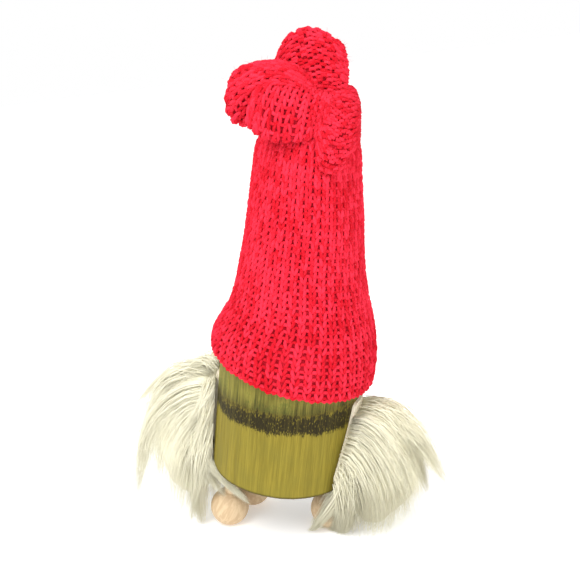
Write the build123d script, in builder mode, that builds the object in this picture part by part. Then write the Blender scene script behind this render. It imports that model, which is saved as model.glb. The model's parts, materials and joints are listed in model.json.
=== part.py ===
from build123d import *
import math
import os

# Tomte gnome figurine: a painted log on three wooden ball feet, with a fur beard, fur hair
# and a knitted hat that pulls off. The gnome faces -Y, leans back and stands on Z = 0.
# Lengths are in millimetres, angles in degrees. Azimuths run from +X towards +Y.
# Most pieces are drawn in the figure's frame: its origin is the middle of the log's lower end,
# its Z runs up the log and its Y runs to the back. Heights below are measured up the log.

# Stance
lean = 14.0
base_height = 35.6
axis_x = 0.0
axis_y = 8.4

# Log
log_radius = 39.0
log_height = 82.0
log_top_round = 3.0
log_bottom_round = 0.8
socket_depth = 14.0
play = 0.05

# Feet: (side, back) of each sole from the middle of the log's lower end
foot_places = {"left": (12.6, -31.7), "right": (-12.6, -31.7), "rear": (0.0, 27.5)}
foot_radius = 11.0
foot_lift = 10.6
foot_bore_depth = 9.0
dowel_radius = 4.0
dowel_chamfer = 0.4

# Nose
nose_radius = 6.5
nose_height = 50.0
nose_sunk = 2.0
nose_dowel_radius = 2.0
nose_dowel_in_log = 10.0
nose_dowel_in_ball = 5.0

# Hides, the cut leather that the fur grows on: (half width, height) at the low and high edges
hide_thickness = 1.5
hide_corner = 3.0
beard_azimuth = -90.0
beard_hide_low = (19.0, 10.0)
beard_hide_high = (17.0, 51.0)
hair_azimuth = 104.0
hair_hide_low = (21.0, 6.0)
hair_hide_high = (10.0, 50.0)

# Fur: (height, inner reach, outer reach, half width) of each level, reaches from the log's axis
fur_gap = 0.3
fur_floor_gap = 2.0
beard_levels = [
    (53.0, 37.0, 46.0, 13.0),
    (42.0, 30.0, 65.0, 24.0),
    (22.0, 28.0, 79.0, 27.0),
    (-6.0, 30.0, 86.0, 29.0),
    (-42.0, 34.0, 91.0, 28.0),
]
hair_levels = [
    (52.0, 37.0, 46.0, 11.0),
    (44.0, 30.0, 58.0, 21.0),
    (26.0, 28.0, 71.0, 27.0),
    (4.0, 28.0, 84.0, 29.0),
    (-34.0, 28.0, 64.0, 26.0),
]
nose_parting = 8.5

# Hat: (height, radius) of the outside, from below the rim to the neck
knit_thickness = 2.6
rim_height = 67.0
rim_slope = 9.7
hat_profile = [
    (50.0, 43.6),
    (70.0, 44.3),
    (80.0, 43.2),
    (88.0, 40.5),
    (97.0, 37.0),
    (110.0, 33.8),
    (130.0, 30.7),
    (150.0, 28.9),
    (170.0, 26.9),
    (182.0, 25.4),
    (191.0, 21.0),
    (197.0, 12.5),
]
neck_radius = 6.2
neck_low = 200.0
neck_high = 209.0
inside_top = 194.0
stuffing_gap = 0.4
stuffing_top = 192.5

# Tie
tie_radius = 1.3
tie_turns = 3
tie_pitch = 2.3
tie_low = 202.2

# Frill, the tube's end beyond the tie: (side, height, half width, half height, depth, thickness)
frill_azimuth = 26.0
frill_gap = 0.8
frill_lobes = [
    (-25.0, 206.0, 17.0, 16.0, 2.0, 18.0),
    (-2.0, 222.0, 14.0, 18.0, -2.0, 20.0),
    (11.0, 197.0, 12.0, 21.0, 8.0, 22.0),
    (-8.0, 203.0, 17.0, 9.0, 19.0, 16.0),
]
frill_core_radius = 14.0
frill_core_height = 217.0

# Motion

tilt = math.radians(lean)
figure = Plane(
    origin=(axis_x, axis_y, base_height), x_dir=(1, 0, 0), z_dir=(0, math.sin(tilt), math.cos(tilt))
)
figure_axis = Axis(figure.origin, figure.z_dir)
profile_plane = Plane(origin=figure.origin, x_dir=figure.x_dir, z_dir=-figure.y_dir)
standing = (Align.CENTER, Align.CENTER, Align.MIN)


def facing(azimuth):
    """The plane through the log's axis that faces out at an azimuth, with its own Y up the log."""
    turn = math.radians(azimuth)
    outward = figure.x_dir * math.cos(turn) + figure.y_dir * math.sin(turn)
    return Plane(origin=figure.origin, x_dir=figure.z_dir.cross(outward), z_dir=outward)


def level(azimuth, height, reach):
    """The plane across the log at a height, centred at a reach from its axis, with X going out."""
    out = facing(azimuth)
    centre = figure.origin + out.z_dir * reach + figure.z_dir * height
    return Plane(origin=centre, x_dir=out.z_dir, z_dir=figure.z_dir)


def ball_centre(place):
    """A foot ball's centre in the figure's frame."""
    side, back = place
    return figure.to_local_coords(Vector(axis_x + side, axis_y + back, foot_lift))


foot_centres = {name: ball_centre(place) for name, place in foot_places.items()}
front_plane = facing(beard_azimuth)
hair_plane = facing(hair_azimuth)
frill_plane = facing(frill_azimuth)
hide_outer = log_radius + play + hide_thickness
nose_reach = hide_outer + nose_radius - nose_sunk

os.makedirs("parts", exist_ok=True)

# The log, with blind sockets for the three foot dowels and the nose dowel
with BuildPart(figure) as log_body:
    Cylinder(log_radius, log_height, align=standing)
    log_rims = log_body.edges().filter_by(GeomType.CIRCLE).sort_by(figure_axis)
    fillet(log_rims[-1], log_top_round)
    fillet(log_rims[0], log_bottom_round)
    for centre in foot_centres.values():
        with Locations((centre.X, centre.Y, 0)):
            Cylinder(dowel_radius + play, socket_depth, align=standing, mode=Mode.SUBTRACT)
    with BuildSketch(front_plane.offset(log_radius - nose_dowel_in_log)):
        with Locations((0, nose_height)):
            Circle(nose_dowel_radius + play)
    extrude(amount=nose_dowel_in_log + 1, mode=Mode.SUBTRACT)
log_body.part.label = "log_body"
export_step(log_body.part, "parts/log_body.step")

# The feet: a wooden ball, filed flat where it stands, and the dowel that joins it to the log
for side, centre in foot_centres.items():
    bore_low = centre.Z + foot_radius - foot_bore_depth
    with BuildPart(figure) as foot_ball:
        with Locations((centre.X, centre.Y, centre.Z)):
            Sphere(foot_radius)
        with Locations((centre.X, centre.Y, bore_low)):
            Cylinder(dowel_radius + play, foot_radius, align=standing, mode=Mode.SUBTRACT)
        split(bisect_by=Plane.XY, keep=Keep.TOP)
    foot_ball.part.label = f"foot_ball_{side}"
    export_step(foot_ball.part, f"parts/foot_ball_{side}.step")

    with BuildPart(figure) as foot_dowel:
        with Locations((centre.X, centre.Y, bore_low + play)):
            Cylinder(dowel_radius, socket_depth - bore_low - 2 * play, align=standing)
        chamfer(foot_dowel.edges().filter_by(GeomType.CIRCLE), dowel_chamfer)
    foot_dowel.part.label = f"foot_dowel_{side}"
    export_step(foot_dowel.part, f"parts/foot_dowel_{side}.step")

# The nose: a small ball bedded on the beard's hide, with a bore for its dowel
with BuildPart(figure) as nose_ball:
    with Locations((0, -nose_reach, nose_height)):
        Sphere(nose_radius)
    Cylinder(hide_outer + play, log_height, align=standing, mode=Mode.SUBTRACT)
    with BuildSketch(front_plane.offset(hide_outer - play)):
        with Locations((0, nose_height)):
            Circle(nose_dowel_radius + play)
    extrude(amount=nose_dowel_in_ball, mode=Mode.SUBTRACT)
nose_ball.part.label = "nose_ball"
export_step(nose_ball.part, "parts/nose_ball.step")

with BuildPart() as nose_dowel:
    with BuildSketch(front_plane.offset(log_radius - nose_dowel_in_log + play)):
        with Locations((0, nose_height)):
            Circle(nose_dowel_radius)
    extrude(amount=hide_outer - log_radius + nose_dowel_in_log + nose_dowel_in_ball - 3 * play)
nose_dowel.part.label = "nose_dowel"
export_step(nose_dowel.part, "parts/nose_dowel.step")

# The beard's hide, glued round the log's front, with a hole for the nose dowel
with BuildPart(figure) as beard_hide:
    with BuildSketch(front_plane) as beard_hide_cut:
        with BuildLine():
            Polyline(
                (-beard_hide_low[0], beard_hide_low[1]),
                (beard_hide_low[0], beard_hide_low[1]),
                (beard_hide_high[0], beard_hide_high[1]),
                (-beard_hide_high[0], beard_hide_high[1]),
                close=True,
            )
        make_face()
        fillet(beard_hide_cut.vertices(), hide_corner)
    extrude(amount=2 * log_radius)
    Cylinder(hide_outer, log_height, align=standing, mode=Mode.INTERSECT)
    Cylinder(log_radius + play, log_height, align=standing, mode=Mode.SUBTRACT)
    with BuildSketch(front_plane):
        with Locations((0, nose_height)):
            Circle(nose_dowel_radius + play)
    extrude(amount=2 * log_radius, mode=Mode.SUBTRACT)
beard_hide.part.label = "beard_hide"
export_step(beard_hide.part, "parts/beard_hide.step")

# The hair's hide, glued round the back
with BuildPart(figure) as hair_hide:
    with BuildSketch(hair_plane) as hair_hide_cut:
        with BuildLine():
            Polyline(
                (-hair_hide_low[0], hair_hide_low[1]),
                (hair_hide_low[0], hair_hide_low[1]),
                (hair_hide_high[0], hair_hide_high[1]),
                (-hair_hide_high[0], hair_hide_high[1]),
                close=True,
            )
        make_face()
        fillet(hair_hide_cut.vertices(), hide_corner)
    extrude(amount=2 * log_radius)
    Cylinder(hide_outer, log_height, align=standing, mode=Mode.INTERSECT)
    Cylinder(log_radius + play, log_height, align=standing, mode=Mode.SUBTRACT)
hair_hide.part.label = "hair_hide"
export_step(hair_hide.part, "parts/hair_hide.step")

# The fur beard, a solid of its outer shape, parted at the nose and hollowed round the front feet
with BuildPart(figure) as beard_fur:
    for height, inner, outer, half_width in beard_levels:
        with BuildSketch(level(beard_azimuth, height, (inner + outer) / 2)):
            Ellipse((outer - inner) / 2, half_width)
    loft()
    Cylinder(hide_outer + fur_gap, log_height, align=standing, mode=Mode.SUBTRACT)
    with Locations((0, 0, -play)):
        Cylinder(log_radius - 4, 2, align=standing, mode=Mode.SUBTRACT)
    with BuildSketch(front_plane):
        with Locations((0, nose_height)):
            Circle(nose_parting)
        with Locations((0, nose_height + log_radius / 2)):
            Rectangle(2 * nose_parting, log_radius)
    extrude(amount=3 * log_radius, mode=Mode.SUBTRACT)
    for side in ("left", "right"):
        centre = foot_centres[side]
        with Locations((centre.X, centre.Y, centre.Z)):
            Sphere(foot_radius + fur_gap, mode=Mode.SUBTRACT)
    split(bisect_by=Plane.XY.offset(fur_floor_gap), keep=Keep.TOP)
beard_fur.part.label = "beard_fur"
export_step(beard_fur.part, "parts/beard_fur.step")

# The fur hair, a solid of its outer shape, hollowed round the rear foot
with BuildPart(figure) as hair_fur:
    for height, inner, outer, half_width in hair_levels:
        with BuildSketch(level(hair_azimuth, height, (inner + outer) / 2)):
            Ellipse((outer - inner) / 2, half_width)
    loft()
    Cylinder(hide_outer + fur_gap, log_height, align=standing, mode=Mode.SUBTRACT)
    rear = foot_centres["rear"]
    with Locations((rear.X, rear.Y, rear.Z)):
        Sphere(foot_radius + fur_gap, mode=Mode.SUBTRACT)
        Cylinder(dowel_radius + fur_gap, log_radius, align=standing, mode=Mode.SUBTRACT)
    split(bisect_by=Plane.XY.offset(fur_floor_gap), keep=Keep.TOP)
hair_fur.part.label = "hair_fur"
export_step(hair_fur.part, "parts/hair_fur.step")

# The hat's knitted tube, open at its sloping rim and gathered solid at the neck
outside = [(radius, height) for height, radius in hat_profile]
inside = [(radius - knit_thickness, height) for height, radius in hat_profile[:-1]]
rim_plane = figure.offset(rim_height).rotated((-rim_slope, 0, 0))

with BuildPart() as hat_tube:
    with BuildSketch(profile_plane):
        with BuildLine():
            Spline(*outside)
            Line(outside[-1], (neck_radius, neck_low))
            Line((neck_radius, neck_low), (neck_radius, neck_high))
            Line((neck_radius, neck_high), (0, neck_high))
            Line((0, neck_high), (0, inside_top))
            Line((0, inside_top), inside[-1])
            Spline(*inside)
            Line(inside[0], outside[0])
        make_face()
    revolve(axis=figure_axis)
    with BuildSketch(rim_plane):
        Circle(2 * log_radius)
    extrude(amount=-log_radius, mode=Mode.SUBTRACT)
hat_tube.part.label = "hat_tube"
export_step(hat_tube.part, "parts/hat_tube.step")

# The wadding that holds the hat up above the log
stuffing_low = log_height + stuffing_gap
stuffing_side = [
    (radius - knit_thickness - stuffing_gap, height) for height, radius in hat_profile[3:-1]
]
with BuildPart() as hat_stuffing:
    with BuildSketch(profile_plane):
        with BuildLine():
            Spline(*stuffing_side)
            Line(stuffing_side[-1], (0, stuffing_top))
            Line((0, stuffing_top), (0, stuffing_low))
            Line((0, stuffing_low), (stuffing_side[0][0], stuffing_low))
            Line((stuffing_side[0][0], stuffing_low), stuffing_side[0])
        make_face()
    revolve(axis=figure_axis)
hat_stuffing.part.label = "hat_stuffing"
export_step(hat_stuffing.part, "parts/hat_stuffing.step")

# The tie: turns of yarn wound side by side round the neck
with BuildPart() as hat_tie:
    with BuildSketch(profile_plane):
        for turn in range(tie_turns):
            with Locations((neck_radius + play + tie_radius, tie_low + turn * tie_pitch)):
                Circle(tie_radius)
    revolve(axis=figure_axis)
hat_tie.part.label = "hat_tie"
export_step(hat_tie.part, "parts/hat_tie.step")

# The frill: lobes of the tube's end, folded out over the hat's shoulders above the tie
tie_high = tie_low + (tie_turns - 1) * tie_pitch + tie_radius + frill_gap
tie_outer = neck_radius + play + 2 * tie_radius + frill_gap
shoulder = [(radius + frill_gap, height + frill_gap) for height, radius in hat_profile[5:]]
with BuildPart(figure) as hat_frill:
    with Locations((0, 0, frill_core_height)):
        Sphere(frill_core_radius)
    for side, height, half_width, half_height, depth, thickness in frill_lobes:
        with BuildSketch(frill_plane.offset(depth - thickness / 2)):
            with Locations((side, height)):
                Ellipse(half_width, half_height)
        extrude(amount=thickness)
    Cylinder(neck_radius + play, neck_high + play, align=standing, mode=Mode.SUBTRACT)
    with BuildSketch(profile_plane):
        with BuildLine():
            Spline(*shoulder)
            Polyline(
                shoulder[-1],
                (tie_outer, neck_low),
                (tie_outer, tie_high),
                (0, tie_high),
                (0, shoulder[0][1]),
                shoulder[0],
            )
        make_face()
    revolve(axis=figure_axis, mode=Mode.SUBTRACT)
hat_frill.part.label = "hat_frill"
export_step(hat_frill.part, "parts/hat_frill.step")
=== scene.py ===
import json
import math
import bpy
import numpy as np
from mathutils import Matrix, Vector


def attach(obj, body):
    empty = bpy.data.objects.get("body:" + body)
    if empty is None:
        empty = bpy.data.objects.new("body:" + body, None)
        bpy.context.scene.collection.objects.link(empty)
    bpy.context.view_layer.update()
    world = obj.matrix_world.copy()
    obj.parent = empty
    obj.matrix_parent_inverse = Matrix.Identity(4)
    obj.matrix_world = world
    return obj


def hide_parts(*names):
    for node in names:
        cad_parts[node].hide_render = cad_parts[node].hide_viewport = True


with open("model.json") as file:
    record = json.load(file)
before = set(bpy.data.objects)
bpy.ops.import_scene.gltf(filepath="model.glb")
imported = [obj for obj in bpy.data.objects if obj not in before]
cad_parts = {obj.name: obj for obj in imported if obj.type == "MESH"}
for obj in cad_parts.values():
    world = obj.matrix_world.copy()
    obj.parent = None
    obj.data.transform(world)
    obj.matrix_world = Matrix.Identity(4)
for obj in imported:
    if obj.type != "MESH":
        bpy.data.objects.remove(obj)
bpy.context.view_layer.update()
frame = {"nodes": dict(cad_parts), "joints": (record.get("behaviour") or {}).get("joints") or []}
mm = 0.001  # metres in a millimetre

# The figure's own directions: side is the gnome's left, back is behind it, and along runs up the log.


def nodePoints(name):
    # the corners of a CAD node's mesh, one row each
    mesh = frame["nodes"][name].data
    points = np.empty(len(mesh.vertices) * 3)
    mesh.vertices.foreach_get("co", points)
    return points.reshape(-1, 3)


along = np.array(frame["joints"][0]["axis"], float)
along /= np.linalg.norm(along)
side = np.array([1.0, 0.0, 0.0])
back = np.cross(along, side)


def reachOf(points, direction):
    # lowest and highest place of the points in a direction, in millimetres
    places = points @ direction / mm
    return places.min(), places.max()


logPoints = nodePoints("log_body")
sideLow, sideHigh = reachOf(logPoints, side)
backLow, backHigh = reachOf(logPoints, back)
upLow, upHigh = reachOf(logPoints, along)
logRadius = (sideHigh - sideLow) / 2
logHeight = upHigh - upLow
# the middle of the log's lower end
base = mm * (side * (sideLow + sideHigh) / 2 + back * (backLow + backHigh) / 2 + along * upLow)


def place(sideways, backward, up):
    # millimetres in the figure's directions, turned into a place in the frame that all pieces share
    sideways, backward, up = np.broadcast_arrays(sideways, backward, up)
    return base + mm * (sideways[..., None] * side + backward[..., None] * back + up[..., None] * along)


def around(azimuth, reach, up):
    # a place at a distance from the log's axis, with the azimuth in radians from side towards back
    return place(reach * np.cos(azimuth), reach * np.sin(azimuth), up)


def unit(vectors):
    # the same directions at length 1
    return vectors / np.maximum(np.linalg.norm(vectors, axis=-1, keepdims=True), 1e-12)


def smoothThrough(xs, ys, x):
    # a cubic Hermite curve through the points, with each slope worked out from its neighbours
    xs, ys = np.asarray(xs, float), np.asarray(ys, float)
    slope = np.gradient(ys, xs)
    k = np.clip(np.searchsorted(xs, x) - 1, 0, len(xs) - 2)
    width = xs[k + 1] - xs[k]
    t = np.clip((x - xs[k]) / width, 0, 1)
    rise = (2 * t**3 - 3 * t**2 + 1) * ys[k] + (3 * t**2 - 2 * t**3) * ys[k + 1]
    return rise + width * ((t**3 - 2 * t**2 + t) * slope[k] + (t**3 - t**2) * slope[k + 1])


def ripple(a, b, seed, waves=6):
    # smooth wandering between about -1 and 1: a sum of a few sine waves in random directions
    finest, swing = 3.0, 1.6
    pick = np.random.default_rng(seed)
    total = 0.0
    for _ in range(waves):
        turn, phase = pick.uniform(0, math.tau), pick.uniform(0, math.tau)
        size = pick.uniform(0.4, 1) * finest
        total = total + np.sin(size * (math.cos(turn) * a + math.sin(turn) * b) + phase)
    return total / waves * swing


def evenly(number, points):
    # one number for every point of a grid
    return np.broadcast_to(number, points.shape[:-1])


def scaled(colour, paintedShadeScale):
    return tuple(paintedShadeScale * part for part in colour)


# The camera and the room, in degrees, metres and watts

shot = {
    "azimuth": 121.0, "elevation": 13.5, "distance": 0.516, "roll": -7.6,
    "aimAcross": 0.0172, "aimUp": 0.1342, "lens": 59.04,  # the lens alone is in millimetres
}
room = {
    "daylight": 1.0, "lampAim": (0, 0, 0.12),
    # each lamp's place, width and power
    "lamps": {"key": ((0.55, 0.05, 0.75), 0.5, 4.6), "fill": ((0.35, 0.75, 0.35), 0.7, 1.6),
              "front": ((0.2, -0.8, 0.5), 0.7, 0.5)},
}


def makeCamera():
    # looks from behind the gnome's left shoulder at a point above the middle of its feet
    turn, rise = math.radians(shot["azimuth"]), math.radians(shot["elevation"])
    outward = Vector((math.sin(turn) * math.cos(rise), -math.cos(turn) * math.cos(rise), math.sin(rise)))
    across = Vector((math.cos(turn), math.sin(turn), 0))
    upward = outward.cross(across)
    roll = math.radians(shot["roll"])
    cameraX = across * math.cos(roll) + upward * math.sin(roll)
    cameraY = upward * math.cos(roll) - across * math.sin(roll)
    target = Vector((base[0], base[1], shot["aimUp"])) + across * shot["aimAcross"]
    camera = bpy.data.objects.new("camera", bpy.data.cameras.new("camera"))
    camera.data.lens = shot["lens"]
    turned = Matrix((cameraX, cameraY, outward)).transposed().to_4x4()
    camera.matrix_world = Matrix.Translation(target + outward * shot["distance"]) @ turned
    bpy.context.scene.collection.objects.link(camera)
    bpy.context.scene.camera = camera


def makeLamp(name, stand, width, power):
    # a soft round lamp that faces the figure
    light = bpy.data.lights.new(name, "AREA")
    light.shape = "DISK"
    light.size, light.energy = width, power
    lamp = bpy.data.objects.new(name, light)
    lamp.location = stand
    lamp.rotation_euler = (Vector(room["lampAim"]) - Vector(stand)).to_track_quat("-Z", "Y").to_euler()
    bpy.context.scene.collection.objects.link(lamp)


def makeDaylight():
    # white light from all round
    world = bpy.data.worlds.new("room")
    world.use_nodes = True
    background = world.node_tree.nodes["Background"]
    background.inputs["Color"].default_value = (1.0, 1.0, 1.0, 1)
    background.inputs["Strength"].default_value = room["daylight"]
    bpy.context.scene.world = world


makeCamera()
for lampName, lampSettings in room["lamps"].items():
    makeLamp(lampName, *lampSettings)
makeDaylight()
bpy.context.scene.view_settings.view_transform = "Standard"  # shows the hat's red as bright as it is
print("camera and lights are in place")


# Materials


class Value:
    # a shader socket that Python's operators work on; each operator adds a Math node

    def __init__(self, shader, socket):
        self.shader, self.socket = shader, socket

    def maths(self, operation, first, second):
        return self.shader.node("ShaderNodeMath", {"operation": operation}, {0: first, 1: second})

    def __add__(self, other):
        return self.maths("ADD", self, other)

    def __sub__(self, other):
        return self.maths("SUBTRACT", self, other)

    def __rsub__(self, other):
        return self.maths("SUBTRACT", other, self)

    def __mul__(self, other):
        return self.maths("MULTIPLY", self, other)

    __radd__ = __add__
    __rmul__ = __mul__


class Shader:
    # a new material and the one method that adds nodes to it

    def __init__(self, name, **fixed):
        self.material = bpy.data.materials.new(name)
        self.material.use_nodes = True
        self.tree = self.material.node_tree
        self.surface = self.tree.nodes["Principled BSDF"]
        for socket, value in fixed.items():
            self.surface.inputs[socket.replace("_", " ")].default_value = value

    def node(self, kind, settings, inputs, output=0):
        made = self.tree.nodes.new(kind)
        for name, value in settings.items():
            setattr(made, name, value)
        for name, value in inputs.items():
            self.link(value, made.inputs[name])
        return Value(self, made.outputs[output])

    def link(self, value, socket):
        if isinstance(value, Value):
            self.tree.links.new(value.socket, socket)
        elif isinstance(value, tuple) and len(value) == 3 and socket.type == "RGBA":
            socket.default_value = (*value, 1)
        else:
            socket.default_value = value

    def feed(self, **values):
        # the last step: fills the surface's own sockets and gives the finished material
        for name, value in values.items():
            self.link(value, self.surface.inputs[name.replace("_", " ")])
        return self.material

    def stored(self, name):
        # a number kept on the mesh's points
        return self.node("ShaderNodeAttribute", {"attribute_name": name}, {}, "Fac")

    def objectPlace(self, turn=(0, 0, 0)):
        coords = self.node("ShaderNodeTexCoord", {}, {}, "Object")
        return self.node("ShaderNodeMapping", {}, {"Vector": coords, "Rotation": turn})

    def stretched(self, vector, share):
        # places squeezed along Z, which draws a pattern out to 1 / share of its length
        return self.node("ShaderNodeMapping", {}, {"Vector": vector, "Scale": (1, 1, share)})

    def noise(self, vector, scale, detail=3.0, roughness=0.5, distortion=0.0):
        return self.node("ShaderNodeTexNoise", {}, {
            "Vector": vector, "Scale": scale, "Detail": detail, "Roughness": roughness,
            "Distortion": distortion})

    def step(self, value, low, high):
        # 0 below low, 1 above high, and smooth between
        return self.node("ShaderNodeMapRange", {"interpolation_type": "SMOOTHSTEP"}, {
            "Value": value, "From Min": low, "From Max": high})

    def blend(self, factor, first, second):
        return self.node("ShaderNodeMix", {"data_type": "RGBA"}, {0: factor, 6: first, 7: second}, 2)

    def bump(self, height, strength, distance):
        return self.node("ShaderNodeBump", {}, {"Height": height, "Strength": strength, "Distance": distance})


# Meshes


def addPiece(name, points, faces, material, body, marks=None):
    # marks are numbers kept on the points, one array for each name
    mesh = bpy.data.meshes.new(name)
    mesh.from_pydata(points.reshape(-1, 3), [], faces)
    for markName, numbers in (marks or {}).items():
        mark = mesh.attributes.new(markName, "FLOAT", "POINT")
        mark.data.foreach_set("value", np.ravel(numbers).astype(np.float32))
    mesh.shade_smooth()
    mesh.materials.append(material)
    piece = bpy.data.objects.new(name, mesh)
    bpy.context.scene.collection.objects.link(piece)
    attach(piece, body)
    return piece


def gridFaces(rows, columns):
    # four-sided faces of a grid whose columns close on themselves, facing out where rows run up
    ring = np.arange(columns)
    following = (ring + 1) % columns
    start = (np.arange(rows - 1) * columns)[:, None]
    return np.stack([start + ring, start + following, start + following + columns,
                     start + ring + columns], -1).reshape(-1, 4)


def closedFaces(rows, columns):
    # the same grid, with one face across its first ring and one across its last
    ring = np.arange(columns)
    return gridFaces(rows, columns).tolist() + [ring[::-1].tolist(), (ring + (rows - 1) * columns).tolist()]


def tubePoints(paths, outward, radii, sides):
    # many tubes at once. paths is (tube, ring, 3) and radii (tube, ring), in metres: each ring is a circle
    # about its path point, whose first corner lies on the outward side
    tangent = unit(np.gradient(paths, axis=1))
    outward = unit(outward - np.sum(outward * tangent, -1, keepdims=True) * tangent)
    across = np.cross(tangent, outward)
    turn = np.arange(sides) * math.tau / sides
    ring = np.cos(turn)[:, None] * outward[:, :, None, :] + np.sin(turn)[:, None] * across[:, :, None, :]
    return paths[:, :, None, :] + radii[:, :, None, None] * ring


def tubeFaces(tubes, rings, sides):
    # the sides of the tubes, and a flat face at each end
    ring = np.arange(sides)
    start = (np.arange(tubes) * rings * sides)[:, None, None]
    quads = (gridFaces(rings, sides)[None] + start).reshape(-1, 4).tolist()
    lids = np.stack([ring[::-1], ring + (rings - 1) * sides])
    return quads + (lids[None] + start).reshape(-1, sides).tolist()


# The floor: flat, pale and far wider than the view

floorLook = {"width": 40, "paint": (0.93, 0.93, 0.93), "glow": 0.3}


def makeFloor():
    # a little light of its own keeps it as pale as the room
    shader = Shader("pale_floor", Roughness=0.9, Emission_Strength=floorLook["glow"])
    bpy.ops.mesh.primitive_plane_add(size=floorLook["width"])
    floor = bpy.context.object
    floor.name = "floor"
    floor.data.materials.append(shader.feed(Base_Color=floorLook["paint"], Emission_Color=(1.0, 1.0, 1.0)))


makeFloor()


# The knitted hat, in millimetres. A share runs from 0 at the rim to 1 at the neck, and lift is along the
# hat's outward normal.

hat = {
    "ribs": 43, "rows": 46,
    "rimUp": 67.0, "rimRise": 7.5,  # the rim is higher over the face
    # the outside's height and reach, and how far it sways at a height
    "outside": [(50, 43.6), (70, 44.3), (80, 43.2), (88, 40.5), (97, 37.0), (110, 33.8), (130, 30.7),
                (150, 28.9), (170, 26.9), (182, 25.4), (191, 21.0), (197, 12.5), (200, 6.4), (208, 6.0)],
    "sway": [(50, 0.6), (80, 0.3), (95, 2.0), (107, 1.3), (120, 0.5), (150, 0.0), (172, -1.2), (208, -1.6)],
    "swayAzimuth": 116.0, "settle": 0.55,
    "yarn": 0.98, "yarnOfRib": 0.29,  # the yarn's radius, and the most that it takes of a rib
    # the cloth under the stitches: its depth, its wall, its swelling at each rib and its mesh
    "shellSunk": 1.0, "wall": 1.3, "ribSwell": 0.45, "insideTop": 0.93,
    "ribColumns": 8, "insideRows": 24, "outsideRows": 150,
    "rimTurn": [(-0.006, 0.72), (-0.008, 0.3)],  # the cloth's rounded rim: share, and depth in the wall
}
redYarn = {
    # pale is the painted sheen on the fine fibres
    "lit": (0.77, 0.026, 0.056), "deep": (0.52, 0.005, 0.014), "pale": (0.90, 0.10, 0.14),
    # inside is how bright the cloth under the stitches is, a darker copy of the yarn as painted shade in the
    # gaps between stitches
    "fibres": 2600.0, "clouds": 45.0, "evenShade": 0.6, "inside": 0.95,
}


def makeYarnShader(name, paintedShadeScale=1.0):
    # matt wool: each stitch has its own shade, and fine fibres roughen its surface and lighten it with a
    # painted sheen of paler red; a painted shade scale below 1 gives a darker copy as painted shade
    shader = Shader(name, Roughness=0.95, Specular_IOR_Level=0.08)
    spot = shader.objectPlace()
    fibres = shader.noise(spot, redYarn["fibres"], 2.0, 0.6)
    cloud = shader.noise(spot, redYarn["clouds"], 2.0)
    own = shader.step(shader.stored("shade") * 0.6 + cloud * 0.8, 0.35, 1.05)
    # a painted shade scale below 1 darkens the lit colour as painted shade
    colour = shader.blend(own, redYarn["deep"], scaled(redYarn["lit"], paintedShadeScale))
    # painted sheen: where the fine fibres stand out, the colour is blended half-way to a paler red
    colour = shader.blend(shader.step(fibres, 0.52, 0.8) * 0.5, colour, redYarn["pale"])
    return shader.feed(Base_Color=colour, Normal=shader.bump(fibres, 0.35, 0.0004))


yarnShader = makeYarnShader("red_yarn")
# the cloth under the stitches, on the hat and the frill: the yarn slightly darkened as painted shade in the
# gaps between stitches
paintedShadeClothShader = makeYarnShader("red_yarn_painted_shade", redYarn["inside"])

profileHeights, profileRadii = np.array(hat["outside"], float).T
profileChord = np.concatenate([[0], np.cumsum(np.hypot(np.diff(profileHeights), np.diff(profileRadii)))])
hatRun = np.linspace(0, profileChord[-1], 600)  # distance up the outside, from well below the rim
hatUp = smoothThrough(profileChord, profileHeights, hatRun)
hatReach = smoothThrough(profileChord, profileRadii, hatRun)
hatUpSlope, hatReachSlope = np.gradient(hatUp, hatRun), np.gradient(hatReach, hatRun)


def rimUp(azimuth):
    return hat["rimUp"] - hat["rimRise"] * np.sin(azimuth)


def hatPlace(azimuth, share, lift):
    # the hat's outside, from its rim at share 0 to its neck at share 1, raised by lift along its normal
    start = np.interp(rimUp(azimuth), hatUp, hatRun)
    run = start + share * (hatRun[-1] - start)
    up, reach = np.interp(run, hatRun, hatUp), np.interp(run, hatRun, hatReach)
    steep, flare = np.interp(run, hatRun, hatUpSlope), np.interp(run, hatRun, hatReachSlope)
    uneven = hat["settle"] * ripple(2.2 * np.cos(azimuth), 2.2 * np.sin(azimuth) + 0.03 * run, 5)
    lift = lift + uneven * np.clip((1 - share) * 4, 0, 1)
    sway = np.interp(up, *np.array(hat["sway"], float).T)
    turn = math.radians(hat["swayAzimuth"])
    reach, up = reach + lift * steep, up - lift * flare
    return place(reach * np.cos(azimuth) + sway * math.cos(turn),
                 reach * np.sin(azimuth) + sway * math.sin(turn), up)


def makeHatShell():
    # the cloth under the stitches: a wall swollen into ribs, closed round the rim and at the top
    columns = hat["ribs"] * hat["ribColumns"]
    azimuth = np.arange(columns) * math.tau / columns
    swell = hat["ribSwell"] * np.cos(azimuth * hat["ribs"] + math.pi)
    sunk = -hat["shellSunk"]
    inside = np.linspace(hat["insideTop"], 0.0, hat["insideRows"])
    outside = np.linspace(0.0, 1.0, hat["outsideRows"])
    rows = [hatPlace(azimuth, share, sunk - hat["wall"]) for share in inside]
    rows += [hatPlace(azimuth, share, sunk - depth) for share, depth in hat["rimTurn"]]
    rows += [hatPlace(azimuth, share, sunk + swell) for share in outside]
    points = np.array(rows)
    return addPiece("hat_cloth", points, closedFaces(len(rows), columns), paintedShadeClothShader, "hat",
                    {"shade": evenly(redYarn["evenShade"], points)})


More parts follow.
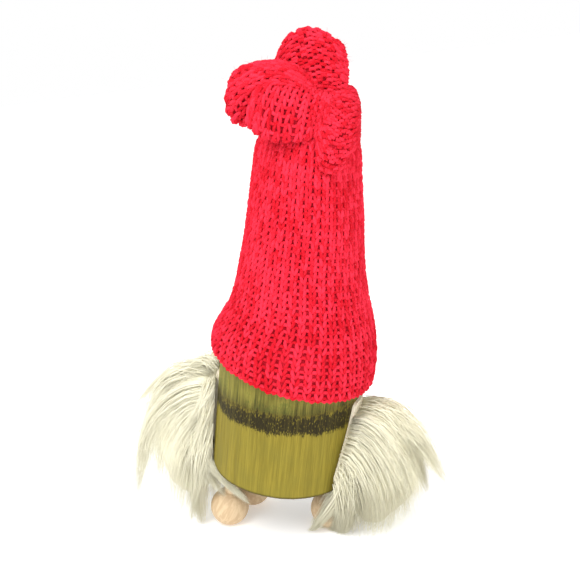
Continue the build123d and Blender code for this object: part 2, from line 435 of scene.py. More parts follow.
# A stitch's path: how far across its rib, how far up its row and how proud, from one end to the other, with
# how thick its yarn is at each. A mirrored stitch has two such legs.
knitLeg = {"across": [0.0, 0.06, 0.15, 0.23, 0.25, 0.21], "up": [-0.12, 0.12, 0.46, 0.82, 1.12, 1.36],
           "proud": [-0.9, -0.15, 0.1, 0.1, -0.2, -1.0], "thick": [0.5, 0.88, 1.0, 0.97, 0.85, 0.5],
           "sides": 6, "mirrored": True}
purlBump = {"across": [-0.27, -0.11, 0.11, 0.27], "up": [0.0, 0.36, 0.36, 0.0],
            "proud": [-1.1, -0.25, -0.25, -1.1], "thick": [0.65, 1.05, 1.05, 0.65],
            "sides": 5, "mirrored": False}
garterBump = {"across": [-0.36, -0.16, 0.16, 0.36], "up": [0.1, 0.5, 0.5, 0.1],
              "proud": [-1.2, 0.1, 0.1, -1.2], "thick": [0.6, 1.05, 1.05, 0.6],
              "sides": 6, "mirrored": False}
rimLoop = {"across": [-0.3, -0.15, 0.0, 0.15, 0.3], "up": [0.25, -0.12, -0.25, -0.12, 0.25],
           "proud": [-0.9, -0.35, -0.1, -0.35, -0.9], "thick": [0.6, 0.95, 1.0, 0.95, 0.6],
           "sides": 6, "mirrored": False}
endLoop = {"across": [-0.32, -0.2, 0.0, 0.2, 0.32], "up": [-0.55, 0.05, 0.4, 0.05, -0.55],
           "proud": [-1.6, -0.6, -0.2, -0.6, -1.6], "thick": [0.8, 1.2, 1.3, 1.2, 0.8],
           "sides": 6, "mirrored": False}
knitUneven = {"across": 0.028, "up": 0.07, "proud": 0.12, "thick": (0.9, 1.12)}


def knitOn(surface, columns, rows, stitch, seed, columnTurn=0.0, upUneven=knitUneven["up"], yarnAt=None):
    # lays one bent tube for each stitch on a surface(column, row, proud)
    pick = np.random.default_rng(seed)
    hands = np.array([1.0, -1.0]) if stitch["mirrored"] else np.array([1.0])
    shape = (len(columns), len(rows), len(hands), 1)
    across = (np.array(stitch["across"]) * hands[:, None])[None, None]
    column = columns[:, None, None, None] + columnTurn + across + pick.normal(0, knitUneven["across"], shape)
    row = rows[None, :, None, None] + np.array(stitch["up"]) + pick.normal(0, upUneven, shape)
    proud = np.array(stitch["proud"]) + pick.normal(0, knitUneven["proud"], shape)
    column, row, proud = np.broadcast_arrays(column, row, proud)
    paths = surface(column, row, proud)
    outward = unit(surface(column, row, proud + 0.5) - paths)
    yarn = (yarnAt(row) if yarnAt else hat["yarn"]) * pick.uniform(*knitUneven["thick"], shape)
    radii = mm * yarn * np.array(stitch["thick"])
    rings, sides = column.shape[-1], stitch["sides"]
    paths, outward = paths.reshape(-1, rings, 3), outward.reshape(-1, rings, 3)
    points = tubePoints(paths, outward, radii.reshape(-1, rings), sides)
    shade = np.repeat(pick.uniform(0, 1, len(points)), rings * sides)
    return points, tubeFaces(len(points), rings, sides), shade


def joinTubes(parts):
    # several lots of tubes as one mesh
    points = np.concatenate([lot.reshape(-1, 3) for lot, _, _ in parts])
    faces, start = [], 0
    for lot, lotFaces, _ in parts:
        faces += [[corner + start for corner in face] for face in lotFaces]
        start += lot.size // 3
    return points, faces, np.concatenate([shade for _, _, shade in parts])


def addYarn(name, tubes):
    points, faces, shade = tubes
    addPiece(name, points, faces, yarnShader, "hat", {"shade": shade})


def onHat(column, row, proud):
    return hatPlace(column * math.tau / hat["ribs"], row / hat["rows"], proud)


def hatYarn(row):
    # the yarn's radius at a row, finer where the ribs draw together
    start = np.interp(hat["rimUp"], hatUp, hatRun)
    reach = np.interp(start + row / hat["rows"] * (hatRun[-1] - start), hatRun, hatReach)
    return np.minimum(hat["yarn"], hat["yarnOfRib"] * (math.tau * reach / hat["ribs"]))


def makeHatStitches():
    # rows of V stitches up each rib, and the sunk bumps of the purl stitches between the ribs
    columns = np.arange(hat["ribs"], dtype=float)
    half = hat["rows"] // 2
    for name, low, high in (("hat_knit_low", 0, half), ("hat_knit_high", half, hat["rows"] - 1)):
        rows = np.arange(low, high, dtype=float)
        legs = knitOn(onHat, columns, rows, knitLeg, 20 + low, 0.5, yarnAt=hatYarn)
        bumps = knitOn(onHat, columns, rows, purlBump, 40 + low, yarnAt=hatYarn)
        addYarn(name, joinTubes([legs, bumps]))


def makeRimEdge():
    # the cast-on edge: one bent loop under each rib and one between the ribs
    addYarn("hat_rim_edge", knitOn(onHat, np.arange(0, hat["ribs"], 0.5), np.array([0.0]), rimLoop, 61))


hatCloth = makeHatShell()
makeHatStitches()
makeRimEdge()
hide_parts("hat_tube")
print("the hat is knitted")


# The frill: the tube's end beyond the tie, folded into four puffed lobes that start where it is gathered.
# A lobe's places are across and up the frill's face and proud of the hat's axis, in millimetres.

frill = {
    "azimuth": math.radians(26.0), "columns": 22, "rowHeight": 3.3,
    "pinch": 0.96, "roundness": 2.6, "settle": 0.8, "thinnest": 0.3,
    # the cloth under the stitches, with the lifts of the rings that close its two ends
    "shellSunk": 1.2, "ribSwell": 0.4, "ribColumns": 8, "shellRows": 40,
    "startLifts": (-3.5, -1.5), "endLifts": (-2.2, -3.2),
    "garterRow": 0.62, "garterStagger": 0.3, "garterUneven": 0.16, "endUneven": 0.1, "endRow": 0.2,
    "lobes": {
        "top": {"line": [(-1, 202, 4), (-4, 218, 3), (-11, 236, -3)], "wide": [14, 18, 15],
                "thick": [6, 9, 8], "blunt": 0.30, "ribbed": False, "across": (1, 0.2, 0.1), "seed": 70},
        "left": {"line": [(-2, 206, 8), (-22, 207, 10), (-35, 190, 6)], "wide": [6, 17, 17],
                 "thick": [5, 8, 6], "blunt": 0.34, "ribbed": True, "across": (0.1, -1, -0.35), "seed": 75},
        "right": {"line": [(9, 208, 4), (12, 197, 17), (8, 175, 27)], "wide": [9, 10.5, 10],
                  "thick": [5, 8, 6], "blunt": 0.35, "ribbed": False, "across": (-1, -0.2, 0.3), "seed": 80},
        "flap": {"line": [(-4, 207, 8), (-11, 203, 20), (-12, 188, 27)], "wide": [15, 18.5, 19],
                 "thick": [4, 6, 3], "blunt": 0.16, "ribbed": True, "across": (-1, 0.0, 0.25), "seed": 85},
    },
}


def onFrill(across, up, proud):
    # a place on the frill's face, which looks out at its azimuth
    turn = frill["azimuth"]
    return place(proud * math.cos(turn) - across * math.sin(turn),
                 proud * math.sin(turn) + across * math.cos(turn), up)


def throughThree(places, t):
    # a parabola that passes three places at t = 0, 0.5 and 1, for each column of the table
    first, middle, last = np.array(places, float)
    t = np.asarray(t)[..., None]
    return first * (2 * t - 1) * (t - 1) + middle * 4 * t * (1 - t) + last * t * (2 * t - 1)


def lobeSurface(lobe):
    # a flattened tube along the lobe's line: at each share t it is an oval, wide along the lobe's own
    # across direction and thin along the normal, whose end is thinned and cut in a round outline
    line, sizes, near = lobe["line"], list(zip(lobe["wide"], lobe["thick"])), 0.02

    def surface(angle, t, lift):
        t = np.clip(t, 0, 1)
        pinch = np.sqrt(1 - frill["pinch"] * t**6)
        t = t * (1 - lobe["blunt"] * np.abs(np.cos(angle)) ** frill["roundness"])
        direction = unit(throughThree(line, t + near) - throughThree(line, t - near))
        size = throughThree(sizes, t)
        wide, thick = size[..., 0], size[..., 1]
        sideways = np.array(lobe["across"], float)
        sideways = unit(sideways - np.sum(direction * sideways, -1, keepdims=True) * direction)
        normal = np.cross(direction, sideways)
        uneven = ripple(2.5 * np.cos(angle), 2.5 * np.sin(angle) + 5 * t, lobe["seed"])
        lift = lift + frill["settle"] * uneven
        offset = ((wide + lift) * np.cos(angle))[..., None] * sideways
        thin = np.maximum(thick * pinch + lift, frill["thinnest"])
        offset = offset + (thin * np.sin(angle))[..., None] * normal
        spot = throughThree(line, t) + offset
        return onFrill(spot[..., 0], spot[..., 1], spot[..., 2])

    return surface


def makeLobe(name, lobe):
    # a cloth body that is closed at both ends, with its stitches laid on it and loops round its end
    surface = lobeSurface(lobe)
    length = np.linalg.norm(np.diff(np.array(lobe["line"], float), axis=0), axis=1).sum()
    columns, rows = frill["columns"], int(length / frill["rowHeight"]) + 1
    angles = np.arange(columns * frill["ribColumns"]) * math.tau / (columns * frill["ribColumns"])
    swell = frill["ribSwell"] * np.cos(angles * columns + math.pi) - frill["shellSunk"]
    rings = [surface(angles, 0.0, lift) for lift in frill["startLifts"]]
    rings += [surface(angles, share, swell) for share in np.linspace(0.0, 1.0, frill["shellRows"])]
    rings += [surface(angles, 1.0, lift) for lift in frill["endLifts"]]
    points = np.array(rings)
    cloth = addPiece(f"frill_{name}_cloth", points, closedFaces(len(rings), len(angles)), paintedShadeClothShader,
                     "hat", {"shade": evenly(redYarn["evenShade"], points)})

    def onLobe(column, row, proud):
        return surface(column * math.tau / columns, row / rows, proud)

    every, seed = np.arange(columns, dtype=float), lobe["seed"]
    if lobe["ribbed"]:
        ribRows = np.arange(0, rows - 0.5)
        parts = [knitOn(onLobe, every, ribRows, knitLeg, seed, 0.5),
                 knitOn(onLobe, every, ribRows, purlBump, seed + 1)]
    else:
        dense = np.arange(0, rows - 0.4, frill["garterRow"])
        parts = [knitOn(onLobe, every, dense, garterBump, seed, 0.0, frill["garterUneven"]),
                 knitOn(onLobe, every, dense + frill["garterStagger"], garterBump, seed + 1, 0.5,
                        frill["garterUneven"])]
    endRows = np.array([rows - frill["endRow"]])
    parts.append(knitOn(onLobe, every, endRows, endLoop, seed + 2, 0.5, frill["endUneven"]))
    addYarn(f"frill_{name}_knit", joinTubes(parts))
    return cloth


fuzz = {
    "long": (1.0, 3.2), "thick": 0.055, "tipThinner": 0.6, "rings": 4, "sides": 3,
    "standing": 0.45, "leaning": 0.7, "curling": 0.5, "shades": (0.6, 1.0), "onHat": 6000, "onFrill": 4000,
}
strandFlank = np.array([0.3, 0.2, 1.0])  # which way a fine strand's first corner faces, as far as it can


def makeFuzz(name, surfaces, count, seed):
    # short loose fibres that stand off the yarn: fine bent tubes, each leaning its own way
    pick = np.random.default_rng(seed)
    t, lots = np.linspace(0, 1, fuzz["rings"]), []
    for surface in surfaces:
        many = count // len(surfaces)
        turn, up = pick.uniform(0, math.tau, (many, 1)), pick.uniform(0, 1, (many, 1))
        length = pick.uniform(*fuzz["long"], (many, 1))
        root = surface(turn, up, 0.0 * turn)
        outward = unit(surface(turn, up, 0.0 * turn + 0.5) - root)
        lean = unit(pick.normal(0, 1, (many, 1, 3)))
        curl = unit(pick.normal(0, 1, (many, 1, 3)))
        heading = fuzz["standing"] * outward + fuzz["leaning"] * lean
        lots.append(root + mm * (length * t)[..., None] * heading
                    + mm * (length * t**2)[..., None] * fuzz["curling"] * curl)
    paths = np.concatenate(lots)
    radii = mm * fuzz["thick"] * (1 - fuzz["tipThinner"] * t) * pick.uniform(0.7, 1.3, (len(paths), 1))
    points = tubePoints(paths, np.broadcast_to(strandFlank, paths.shape), radii, fuzz["sides"])
    shade = np.repeat(pick.uniform(*fuzz["shades"], len(paths)), fuzz["rings"] * fuzz["sides"])
    addYarn(name, (points, tubeFaces(len(paths), fuzz["rings"], fuzz["sides"]), shade))


lobesMade = [makeLobe(name, lobe) for name, lobe in frill["lobes"].items()]
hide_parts("hat_frill")
makeFuzz("hat_fuzz", [hatPlace], fuzz["onHat"], 91)
makeFuzz("frill_fuzz", [lobeSurface(lobe) for lobe in frill["lobes"].values()], fuzz["onFrill"], 92)
print("the frill is folded")


# The tie: turns of two-ply yarn round the gathered neck

tie = {"up": 200.2, "rise": 1.75, "reach": 7.4, "turns": 3.2, "ply": 0.75, "plyReach": 0.55, "twists": 26,
       "rings": 420, "sides": 8}


def makeTie():
    # each ply is a helix round the neck with a smaller helix wound on it
    turn = np.linspace(0, tie["turns"] * math.tau, tie["rings"])
    plies = []
    for start in (0.0, math.pi):
        twist = turn * tie["twists"] / math.tau + start
        up = tie["up"] + tie["rise"] * turn / math.tau + tie["plyReach"] * np.sin(twist)
        plies.append(around(turn, tie["reach"] + tie["plyReach"] * np.cos(twist), up))
    paths = np.array(plies)
    outward = unit(paths - place(0.0, 0.0, tie["up"])[None, None])
    points = tubePoints(paths, outward, np.full(paths.shape[:2], tie["ply"] * mm), tie["sides"])
    piece = addPiece("tie_yarn", points, tubeFaces(len(plies), tie["rings"], tie["sides"]), yarnShader, "hat",
                     {"shade": evenly(redYarn["evenShade"], points)})
    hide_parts("hat_tie")


# The stuffing: a plug of wadding that fills the hat above the log

wadding = {
    "low": 82.6, "high": 192.0, "clear": 3.5, "lumps": 0.9, "columns": 120, "rows": 70,
    # the shares of the reach at which each end is closed, and how far its middle is domed
    "lowShares": (0.1, 0.3, 0.5, 0.7, 0.85, 0.95), "lowDome": 1.2, "highShares": (0.6, 0.2), "highDome": 0.3,
    # deep is the painted shade in the hollows between the tufts, lit the tufts themselves
    "tufts": 900.0, "deep": (0.62, 0.59, 0.53), "lit": (0.90, 0.88, 0.84),
}


def makeWaddingShader():
    # white tufts, with painted shade greying their hollows
    shader = Shader("white_wadding", Roughness=1.0, Specular_IOR_Level=0.05)
    tufts = shader.noise(shader.objectPlace(), wadding["tufts"], 4.0, 0.65, 1.5)
    # painted shade: where the tufts sink, the colour greys towards deep
    return shader.feed(Base_Color=shader.blend(shader.step(tufts, 0.3, 0.7), wadding["deep"], wadding["lit"]),
                       Normal=shader.bump(tufts, 0.6, 0.0008))


def makeStuffing():
    # the hat's hollow drawn in by a clearance, with soft lumps, and rounded at both ends
    azimuth = np.arange(wadding["columns"]) * math.tau / wadding["columns"]
    ups = np.linspace(wadding["low"], wadding["high"], wadding["rows"])
    hollow = smoothThrough(*np.array(hat["outside"], float).T, ups) - wadding["clear"]
    rings = [around(azimuth, hollow[0] * share, ups[0] + wadding["lowDome"] * (1 - share) ** 2 + 0.4)
             for share in wadding["lowShares"]]
    for up, reach in zip(ups[1:], hollow[1:]):
        lumps = wadding["lumps"] * (ripple(6 * np.cos(azimuth), 6 * np.sin(azimuth) + 0.1 * up, 9) - 1)
        rings.append(around(azimuth, np.maximum(reach + lumps, 1.0), up + 0 * azimuth))
    rings += [around(azimuth, hollow[-1] * share, ups[-1] + wadding["highDome"] * (1 - share))
              for share in wadding["highShares"]]
    piece = addPiece("stuffing_plug", np.array(rings), closedFaces(len(rings), wadding["columns"]),
                     makeWaddingShader(), "hat")
    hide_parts("hat_stuffing")


makeTie()
makeStuffing()
print("the hat is tied and stuffed")


# The log

log = {
    "columns": 280, "rows": 110, "arris": 1.2, "arrisRows": 6, "endRows": 14,
    "grain": 0.16, "ridges": (31, 47, 73, 101, 127),  # the grain's depth, and its ridges round the side
    # the dark band's lower edge, and its upper edge at azimuths in degrees
    "low": 38.0,
    "high": [(-180, 50), (-100, 48), (-58, 46), (0, 49.0), (30, 49.5), (52, 50.5), (70, 51.5), (110, 50),
             (180, 50)],
}
paint = {
    "olive": ((0.175, 0.138, 0.015), (0.280, 0.222, 0.028)), "oliveCloud": (0.18, 0.155, 0.024),
    "above": ((0.105, 0.100, 0.015), (0.27, 0.235, 0.045)), "aboveCloud": (0.085, 0.115, 0.018),
    # the last colour is the painted shadow along the bottom arris
    "band": ((0.020, 0.015, 0.003), (0.085, 0.068, 0.013)), "arrisShadow": (0.035, 0.026, 0.008),
}
lean = math.atan2(along[1], along[2])


def makeLogShader():
    # olive paint brushed along the grain, with a dark band whose upper edge has crept up the grain, and a
    # painted shadow along the bottom arris
    shader = Shader("olive_paint", Roughness=0.62, Specular_IOR_Level=0.15)
    upright = shader.objectPlace((lean, 0, 0))
    long, short = shader.stretched(upright, 0.035), shader.stretched(upright, 0.2)
    fine, broad = shader.noise(long, 1500.0, 3.0, 0.6), shader.noise(long, 320.0, 3.0, 0.6)
    creep, mottle = shader.noise(short, 420.0, 3.0, 0.6), shader.noise(upright, 60.0, 3.0, 0.6)
    speck = shader.noise(shader.stretched(upright, 0.4), 1500.0, 2.0)
    low, high, up = shader.stored("overLow"), shader.stored("overHigh"), shader.stored("up")
    grain = fine * 0.55 + broad * 0.45
    olive = shader.blend(shader.step(grain, 0.34, 0.66), *paint["olive"])
    olive = shader.blend(shader.step(mottle, 0.35, 0.7) * 0.35, olive, paint["oliveCloud"])
    above = shader.blend(shader.step(grain + mottle * 0.3, 0.48, 0.8), *paint["above"])
    clouded = shader.step(mottle + (speck - 0.5) * 0.5, 0.52, 0.66) * 0.6
    above = shader.blend(clouded, above, paint["aboveCloud"])
    colour = shader.blend(shader.step(high, -1.0, 2.0), olive, above)
    crept = 1 - shader.step(high + (creep - 0.5) * 11 + (speck - 0.5) * 12, -3.0, 2.0)
    smudge = (1 - shader.step(high + (broad - 0.5) * 26, 0.0, 9.0)) * shader.step(high, -3.0, 0.0) * 0.55
    begun = shader.step(low + (creep - 0.5) * 6 + (mottle - 0.5) * 5 + (speck - 0.5) * 8, -0.8, 1.4)
    begun = begun * (1 - shader.step(speck, 0.58, 0.7) * 0.6)
    dark = shader.blend(shader.step(grain, 0.45, 0.72), *paint["band"])
    colour = shader.blend(smudge, colour, dark)
    colour = shader.blend(begun * crept, colour, dark)
    # painted shadow: the side darkened towards the bottom arris, over its lowest 2 mm
    lowest = (1 - shader.step(up, 0.5, 2.3)) * 0.8
    colour = shader.blend(lowest, colour, paint["arrisShadow"])
    return shader.feed(Base_Color=colour, Roughness=grain * 0.25 + 0.5,
                       Normal=shader.bump(grain, 0.5, 0.0005))


def makeLog():
    # flat ends, rounded arrises, and a side whose grain is fine ridges that wander along its length
    azimuth = np.arange(log["columns"]) * math.tau / log["columns"]
    arris = log["arris"]
    bend = np.linspace(0.15, math.pi / 2, log["arrisRows"])
    endReach = np.linspace(0.6, logRadius - arris, log["endRows"])
    reach = np.concatenate([endReach, logRadius - arris + arris * np.sin(bend)])
    up = np.concatenate([0 * endReach, arris - arris * np.cos(bend)])
    sides = np.linspace(arris + 0.6, logHeight - arris - 0.6, log["rows"])
    reach = np.concatenate([reach, np.full(log["rows"], logRadius), reach[::-1]])[:, None]
    up = np.concatenate([up, sides, logHeight - up[::-1]])[:, None]
    ridges = 0.0
    for k, turns in enumerate(log["ridges"]):
        ridges = ridges + np.sin(turns * azimuth + 1.3 * k + 0.8 * np.sin(0.05 * up + k)) / len(log["ridges"])
    outer = np.clip((reach - 30) / 9, 0, 1)  # the ridges fade towards the middle of the ends
    lift = log["grain"] * ridges * outer + 0.12 * ripple(3 * azimuth, 0.04 * up, 4) * outer - 0.15
    points = around(azimuth + 0 * up, reach + lift, up + 0 * azimuth)
    degrees = np.degrees((azimuth + math.pi) % math.tau - math.pi)
    high = smoothThrough(*np.array(log["high"], float).T, degrees)
    marks = {"up": up + 0 * azimuth, "overLow": up - log["low"] + 0 * azimuth, "overHigh": up - high}
    piece = addPiece("log_painted", points, closedFaces(len(up), log["columns"]), makeLogShader(), "figure",
                     marks)
    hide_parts("log_body")


makeLog()
print("the log is painted")


# The feet, the nose and their dowels: turned from pale wood, left as the CAD has them

wood = {
    "late": (0.44, 0.28, 0.15), "early": (0.66, 0.50, 0.31), "rings": 420.0, "pores": 2600.0,
    # how each ball's grain is turned from upright
    "footTurns": {"left": (0.5, 0.3, 0), "right": (1.1, -0.4, 0), "rear": (0.2, 1.2, 0)},
    "noseTurn": (1.4, 0.2, 0),
}


def makeWoodShader(name, turn):
    # growth rings cut by the turned surface, with short darker pores along the grain
    shader = Shader(name, Roughness=0.55, Specular_IOR_Level=0.35)
    grain = shader.stretched(shader.objectPlace(turn), 0.12)
    rings = shader.noise(grain, wood["rings"], 2.0, 0.5, 1.0)
    pores = shader.noise(grain, wood["pores"], 2.0, 0.6)
    colour = shader.blend(shader.step(rings, 0.38, 0.62), wood["late"], wood["early"])
    colour = shader.blend(0.55, colour, wood["early"])
    colour = shader.blend(shader.step(pores, 0.58, 0.75) * 0.4, colour, wood["late"])
    return shader.feed(Base_Color=colour, Normal=shader.bump(pores, 0.25, 0.0003))


def makeHideShader():
    # pale leather with fine pores
    shader = Shader("tanned_hide", Roughness=0.85, Specular_IOR_Level=0.15)
    pores = shader.noise(shader.objectPlace(), 1300.0, 3.0, 0.6)
    return shader.feed(Base_Color=shader.blend(pores, (0.70, 0.60, 0.42), (0.92, 0.87, 0.72)),
                       Normal=shader.bump(pores, 0.4, 0.0004))


def finishNodes(material, names):
    for name in names:
        for slot in frame["nodes"][name].material_slots:
            slot.material = material


for foot, footTurn in wood["footTurns"].items():
    finishNodes(makeWoodShader(f"turned_wood_{foot}", footTurn), [f"foot_ball_{foot}", f"foot_dowel_{foot}"])
finishNodes(makeWoodShader("turned_wood_nose", wood["noseTurn"]), ["nose_ball", "nose_dowel"])
finishNodes(makeHideShader(), ["beard_hide", "hair_hide"])
print("the wood and the hides have their finishes")


# The beard and the hair: long-haired pelts. A flow is a bent line that a hair follows, given by four handles,
# each its reach from the log's axis, its place up the log and half the pelt's width there. Flows run from the
# lowest roots to the highest. A wisp is one loose lock: four handles that give its sideways place instead of
# the width, how far its hairs spread, and how many hairs it has.

pelts = {
    "beard": {
        "azimuth": -90.0, "locks": 80, "hairs": 4800, "seed": 101, "parting": 7.5,
        "flows": [[(40.2, 10, 20), (42, 4, 21), (42, -15, 23), (36, -50, 22)],
                  [(40.2, 19, 20), (47, 18, 23), (54, -10, 27), (48, -56, 26)],
                  [(40.2, 28, 20), (55, 32, 25), (68, -4, 28), (60, -54, 25)],
                  [(40.2, 35, 19), (58, 40, 24), (84, 4, 25), (76, -38, 20)],
                  [(40.2, 43, 17), (60, 49, 21), (91, 18, 22), (96, -48, 15)]],
        "wisps": [
            ([(44, 42, 8), (66, 50, 9), (82, 31, 9), (98, 6, 10)], 4.0, 260),
            ([(46, 40, 5), (76, 46, 8), (93, -4, 8), (96, -62, 6)], 9.0, 560),
            ([(44, 38, -8), (70, 44, -9), (84, 2, -8), (91, -42, -7)], 7.0, 260),
            ([(41, 16, 19), (43, 2, 21), (37, -12, 22), (24, -22, 19)], 6.0, 360),
            ([(40, 12, 19), (38, 2, 23), (28, -8, 23), (10, -18, 20)], 3.5, 360),
            ([(40, 10, 17), (38, -2, 22), (26, -12, 22), (8, -22, 18)], 3.5, 300),
            ([(41, 12, 19), (44, 0, 20), (43, -24, 22), (36, -52, 20)], 8.0, 460),
            ([(41, 50, 10), (47, 57, 10), (54, 54, 11), (64, 36, 12)], 3.5, 280),
            ([(36.2, 46, 19.5), (34.5, 46, 23), (40, 30, 26), (54, 6, 27)], 4.5, 280),
            ([(36, 37, 20), (34, 37, 23.5), (38, 16, 27), (48, -14, 27)], 4.5, 280),
            ([(35.5, 27, 20.5), (34, 25, 24), (38, 4, 26), (46, -36, 25)], 4.5, 280),
            ([(35.5, 16, 20.5), (34, 12, 24), (38, -12, 25), (44, -46, 24)], 5.0, 320),
            ([(41, 50, -10), (47, 57, -11), (54, 52, -12), (64, 32, -12)], 3.5, 260),
            ([(38, 46, -18), (37, 46, -22), (46, 30, -25), (58, 4, -25)], 4.5, 260),
            ([(37, 32, -19), (36, 30, -24), (43, 10, -26), (52, -24, -25)], 4.5, 260),
            ([(37, 16, -20), (36, 12, -24), (41, -12, -25), (46, -48, -23)], 5.0, 300),
            ([(44, 38, -3), (70, 46, -4), (86, 2, -6), (90, -50, -8)], 8.0, 320),
        ],
    },
    "hair": {
        "azimuth": 104.0, "locks": 80, "hairs": 4800, "seed": 202, "parting": 0.0,
        "flows": [[(40.2, 7, 21), (42, 2, 23), (44, -14, 24), (38, -30, 22)],
                  [(40.2, 16, 20), (47, 16, 24), (54, -10, 27), (50, -34, 25)],
                  [(40.2, 26, 18), (56, 32, 24), (66, 0, 28), (62, -28, 25)],
                  [(40.2, 35, 15), (60, 43, 21), (76, 10, 25), (74, -15, 22)],
                  [(40.2, 43, 12), (58, 51, 16), (77, 25, 20), (83, 2, 18)]],
        "wisps": [
            ([(44, 40, 2), (68, 48, 2), (78, 24, 0), (93, 9, -2)], 8.0, 460),
            ([(44, 41, -4), (58, 49, -6), (68, 34, -8), (77, 14, -8)], 6.0, 240),
            ([(44, 30, 9), (66, 36, 10), (78, 4, 9), (83, -6, 8)], 6.0, 240),
            ([(41, 10, -17), (42, 0, -18), (37, -14, -17), (29, -30, -14)], 5.5, 400),
            ([(41, 16, -18), (44, 4, -20), (43, -14, -19), (38, -32, -16)], 6.0, 400),
            ([(41, 8, -14), (38, -4, -15), (30, -12, -15), (23, -28, -13)], 5.0, 440),
            ([(41, 10, -18), (45, -2, -21), (44, -16, -20), (40, -34, -17)], 5.5, 460),
            ([(41, 8, -16), (42, -6, -19), (39, -18, -18), (34, -33, -15)], 5.0, 460),
            ([(40, 8, -17), (37, -6, -20), (29, -16, -20), (23, -33, -17)], 4.5, 460),
        ],
    },
}
furLook = {
    "parts": 3, "rings": 7, "sides": 3, "thick": 0.21, "curl": 2.0, "stray": 0.95,
    "floor": 0.6, "offLog": 1.7,  # the least room over the floor and off the log
    # under is how bright the underfur is, a darker copy of the fur as painted shade under the strands
    "lit": (0.98, 0.95, 0.76), "deep": (0.67, 0.64, 0.48), "under": 0.86,
    "underColumns": 72, "underRows": 60, "underLong": 0.86,
}


def makeFurShader(name, paintedShadeScale=1.0):
    # cream hair: each strand has its own shade, the fur is greyer in broad soft bands, and painted shade
    # greys it low down and towards the hairs' tips; a painted shade scale below 1 gives a darker copy
    shader = Shader(name, Roughness=0.75, Specular_IOR_Level=0.2)
    shade, share = shader.stored("shade"), shader.stored("share")
    spot = shader.objectPlace()
    height = shader.node("ShaderNodeSeparateXYZ", {}, {"Vector": spot}, "Z")
    # painted light and shade: the fur is lighter higher up and darker low down
    raised = shader.step(height, -0.01, 0.062)
    cloud = shader.noise(spot, 42.0, 2.0)
    # the share term is painted shade that darkens the hairs towards their tips
    tone = shader.step(shade * 0.28 + cloud * 0.9 + raised * 0.42 - share * 0.12, 0.42, 1.08)
    return shader.feed(Base_Color=shader.blend(tone, scaled(furLook["deep"], paintedShadeScale),
                                               scaled(furLook["lit"], paintedShadeScale)))


furShader = makeFurShader("cream_fur")
# the underfur: the same cream darkened as painted shade under the strands
paintedShadeUnderShader = makeFurShader("cream_underfur_painted_shade", furLook["under"])


def alongBend(handles, t):
    # a cubic Bezier line: the handles are on the first axis and the numbers of each handle on the last
    t = np.asarray(t)[..., None]
    return ((1 - t) ** 3 * handles[0] + 3 * t * (1 - t) ** 2 * handles[1]
            + 3 * t**2 * (1 - t) * handles[2] + t**3 * handles[3])


def onPelt(pelt, reach, up, sideways):
    # a place in the pelt's own directions, kept off the log's side and above the floor
    offLog = (logRadius + furLook["offLog"]) ** 2 - np.minimum(np.abs(sideways), 36) ** 2
    reach = np.where(up > -2, np.maximum(reach, np.sqrt(np.maximum(offLog, 0))), reach)
    turn = math.radians(pelt["azimuth"])
    points = place(reach * math.cos(turn) - sideways * math.sin(turn),
                   reach * math.sin(turn) + sideways * math.cos(turn), up)
    points[..., 2] = np.maximum(points[..., 2], mm * (furLook["floor"] + 0.03 * np.abs(sideways)))
    return points


def flowPlace(pelt, flow, across, t):
    # a place on the pelt's flows: which flow (0 lowest to 1 highest), how far across (-1 to 1), how far along
    table = np.array(pelt["flows"], float)
    flow = np.clip(flow, 0, 1) * (len(table) - 1)
    k = np.minimum(flow.astype(int), len(table) - 2)
    part = (flow - k)[..., None]
    handles = [table[k, h] * (1 - part) + table[k + 1, h] * part for h in range(4)]
    found = alongBend(handles, t)
    reach, up, half = found[..., 0], found[..., 1], found[..., 2]
    sideways = across * half
    # the parting opens near the log, above the nose's lower side
    gap = pelt["parting"] * np.clip((up - 34) / 10, 0, 1) * np.clip((60 - reach) / 12, 0, 1)
    sideways = sideways + np.where(across < 0, -1, 1) * gap * (1 - np.minimum(np.abs(across), 1))
    return reach - 0.012 * sideways**2 * (1 - t), up, sideways


def makeUnderfur(name, pelt):
    # the dense fur under the strands: all the flows together as one closed body
    columns, rows = furLook["underColumns"], furLook["underRows"]
    turn = np.arange(columns) * math.tau / columns
    t = np.linspace(0.0, furLook["underLong"], rows)[:, None] + 0 * turn
    taper = np.sqrt(np.clip(1 - (t / 0.9) ** 6, 0, 1))
    flow = 0.47 + 0.43 * np.sin(turn) * taper
    across = 0.84 * np.cos(turn) * taper
    reach, up, sideways = flowPlace(pelt, flow, across, t)
    grown = np.clip(t * 4, 0, 1)
    folds = ripple(5 * across, 5 * flow, pelt["seed"], 8) * 2.2 * grown
    folds = folds + ripple(26 * across + 9 * flow, 2.0 * t, pelt["seed"] + 9, 8) * 1.1 * grown
    points = onPelt(pelt, reach + folds, up, sideways + 0.5 * folds)
    under = addPiece(f"{name}_underfur", points, closedFaces(rows, columns), paintedShadeUnderShader, "figure",
                     {"shade": evenly(0.5, points), "share": t})
    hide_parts(f"{name}_fur")


def layStrands(paths, thick, pick):
    # thin three-sided tubes along the paths, thick at the middle and fine at the tip
    rings, sides = furLook["rings"], furLook["sides"]
    t = np.linspace(0, 1, rings)
    swell = 0.55 + 0.45 * np.sin(math.pi * np.minimum(t * 1.6, 1) ** 0.8)
    radii = thick[:, None] * swell * (1 - 0.9 * t**2.2)
    points = tubePoints(paths, np.broadcast_to(strandFlank, paths.shape), mm * radii, sides)
    shade = np.repeat(pick.uniform(0, 1, len(paths)), rings * sides)
    share = np.broadcast_to(t[None, :, None], (len(paths), rings, sides))
    return points, tubeFaces(len(paths), rings, sides), {"shade": shade, "share": share}


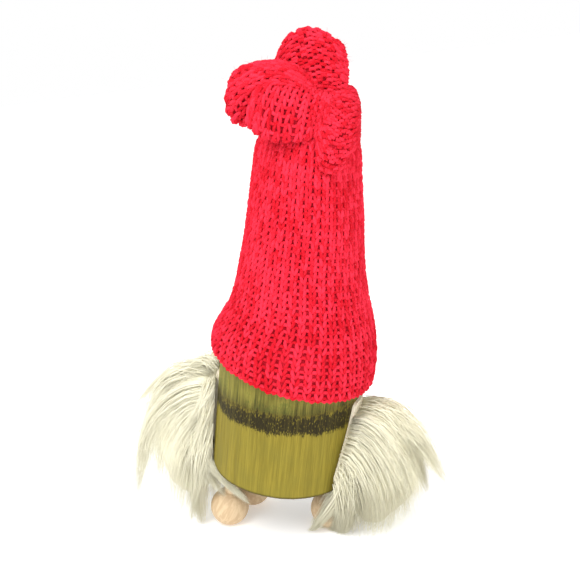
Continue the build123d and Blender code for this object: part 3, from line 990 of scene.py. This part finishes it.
def strayLocks(pelt, pick, steps):
    # the wisps' paths: hairs scattered about a bent line and drawn together towards its tip
    for handles, spread, hairs in pelt["wisps"]:
        count = hairs // furLook["parts"]
        t = steps * pick.uniform(0.72, 1.0, (count, 1))
        line = alongBend(np.array(handles, float)[:, None, None, :], t)
        apart = pick.normal(0, spread * 0.5, (3, count, 1)) * (1.0 - 0.7 * t**1.3)
        own = pick.uniform(0, math.tau, (count, 1)) + 8 * t
        yield onPelt(pelt, line[..., 0] + apart[0] + 0.5 * t * np.sin(own), line[..., 1] + apart[1],
                     line[..., 2] + apart[2] + 0.5 * t * np.cos(own))


def makeStrands(name, pelt, part):
    # hairs share a lock's middle line and draw together towards its tip; each lock has its own curl
    pick = np.random.default_rng(pelt["seed"] + part)
    hairs, locks = pelt["hairs"] // furLook["parts"], pelt["locks"]
    steps = np.linspace(0, 1, furLook["rings"])
    lockFlow, lockAcross = pick.uniform(0.0, 1.0, locks) ** 0.8, pick.uniform(-1, 1, locks)
    lockLong, lockTurn = pick.uniform(0.86, 1.0, locks), pick.uniform(0, math.tau, locks)
    lockCurl = pick.uniform(0.4, 1.0, locks) * furLook["curl"]
    lock = pick.integers(0, locks, hairs)
    flow = (lockFlow[lock] + pick.normal(0, 0.09, hairs))[:, None]
    across = (lockAcross[lock] + pick.normal(0, 0.15, hairs))[:, None]
    t = steps * (lockLong[lock] * pick.uniform(0.8, 1.03, hairs))[:, None]
    drawn = 0.6 * t**1.4
    flow = flow + (lockFlow[lock][:, None] - flow) * drawn
    across = across + (lockAcross[lock][:, None] - across) * drawn
    reach, up, sideways = flowPlace(pelt, flow + 0 * t, np.clip(across, -1.1, 1.1) + 0 * t, t)
    wave = lockTurn[lock][:, None] + 7.0 * t
    curl = lockCurl[lock][:, None] * t
    stray = pick.normal(0, furLook["stray"], (3, hairs, 1)) * t
    own = pick.uniform(0, math.tau, (hairs, 1)) + pick.uniform(6, 14, (hairs, 1)) * t
    reach = reach + curl * np.sin(wave) + stray[0] + 0.4 * t * np.sin(own)
    sideways = sideways + curl * np.cos(wave) + stray[1] + 0.4 * t * np.cos(own)
    lots = [onPelt(pelt, reach, up + stray[2], sideways)]
    lots += strayLocks(pelt, pick, steps)
    paths = np.concatenate(lots)
    thick = furLook["thick"] * pick.uniform(0.6, 1.25, len(paths))
    points, faces, marks = layStrands(paths, thick, pick)
    addPiece(f"{name}_strands_{part}", points, faces, furShader, "figure", marks)


for peltName, pelt in pelts.items():
    makeUnderfur(peltName, pelt)
    for part in range(1, furLook["parts"] + 1):
        makeStrands(peltName, pelt, part)
print("the beard and the hair are laid")
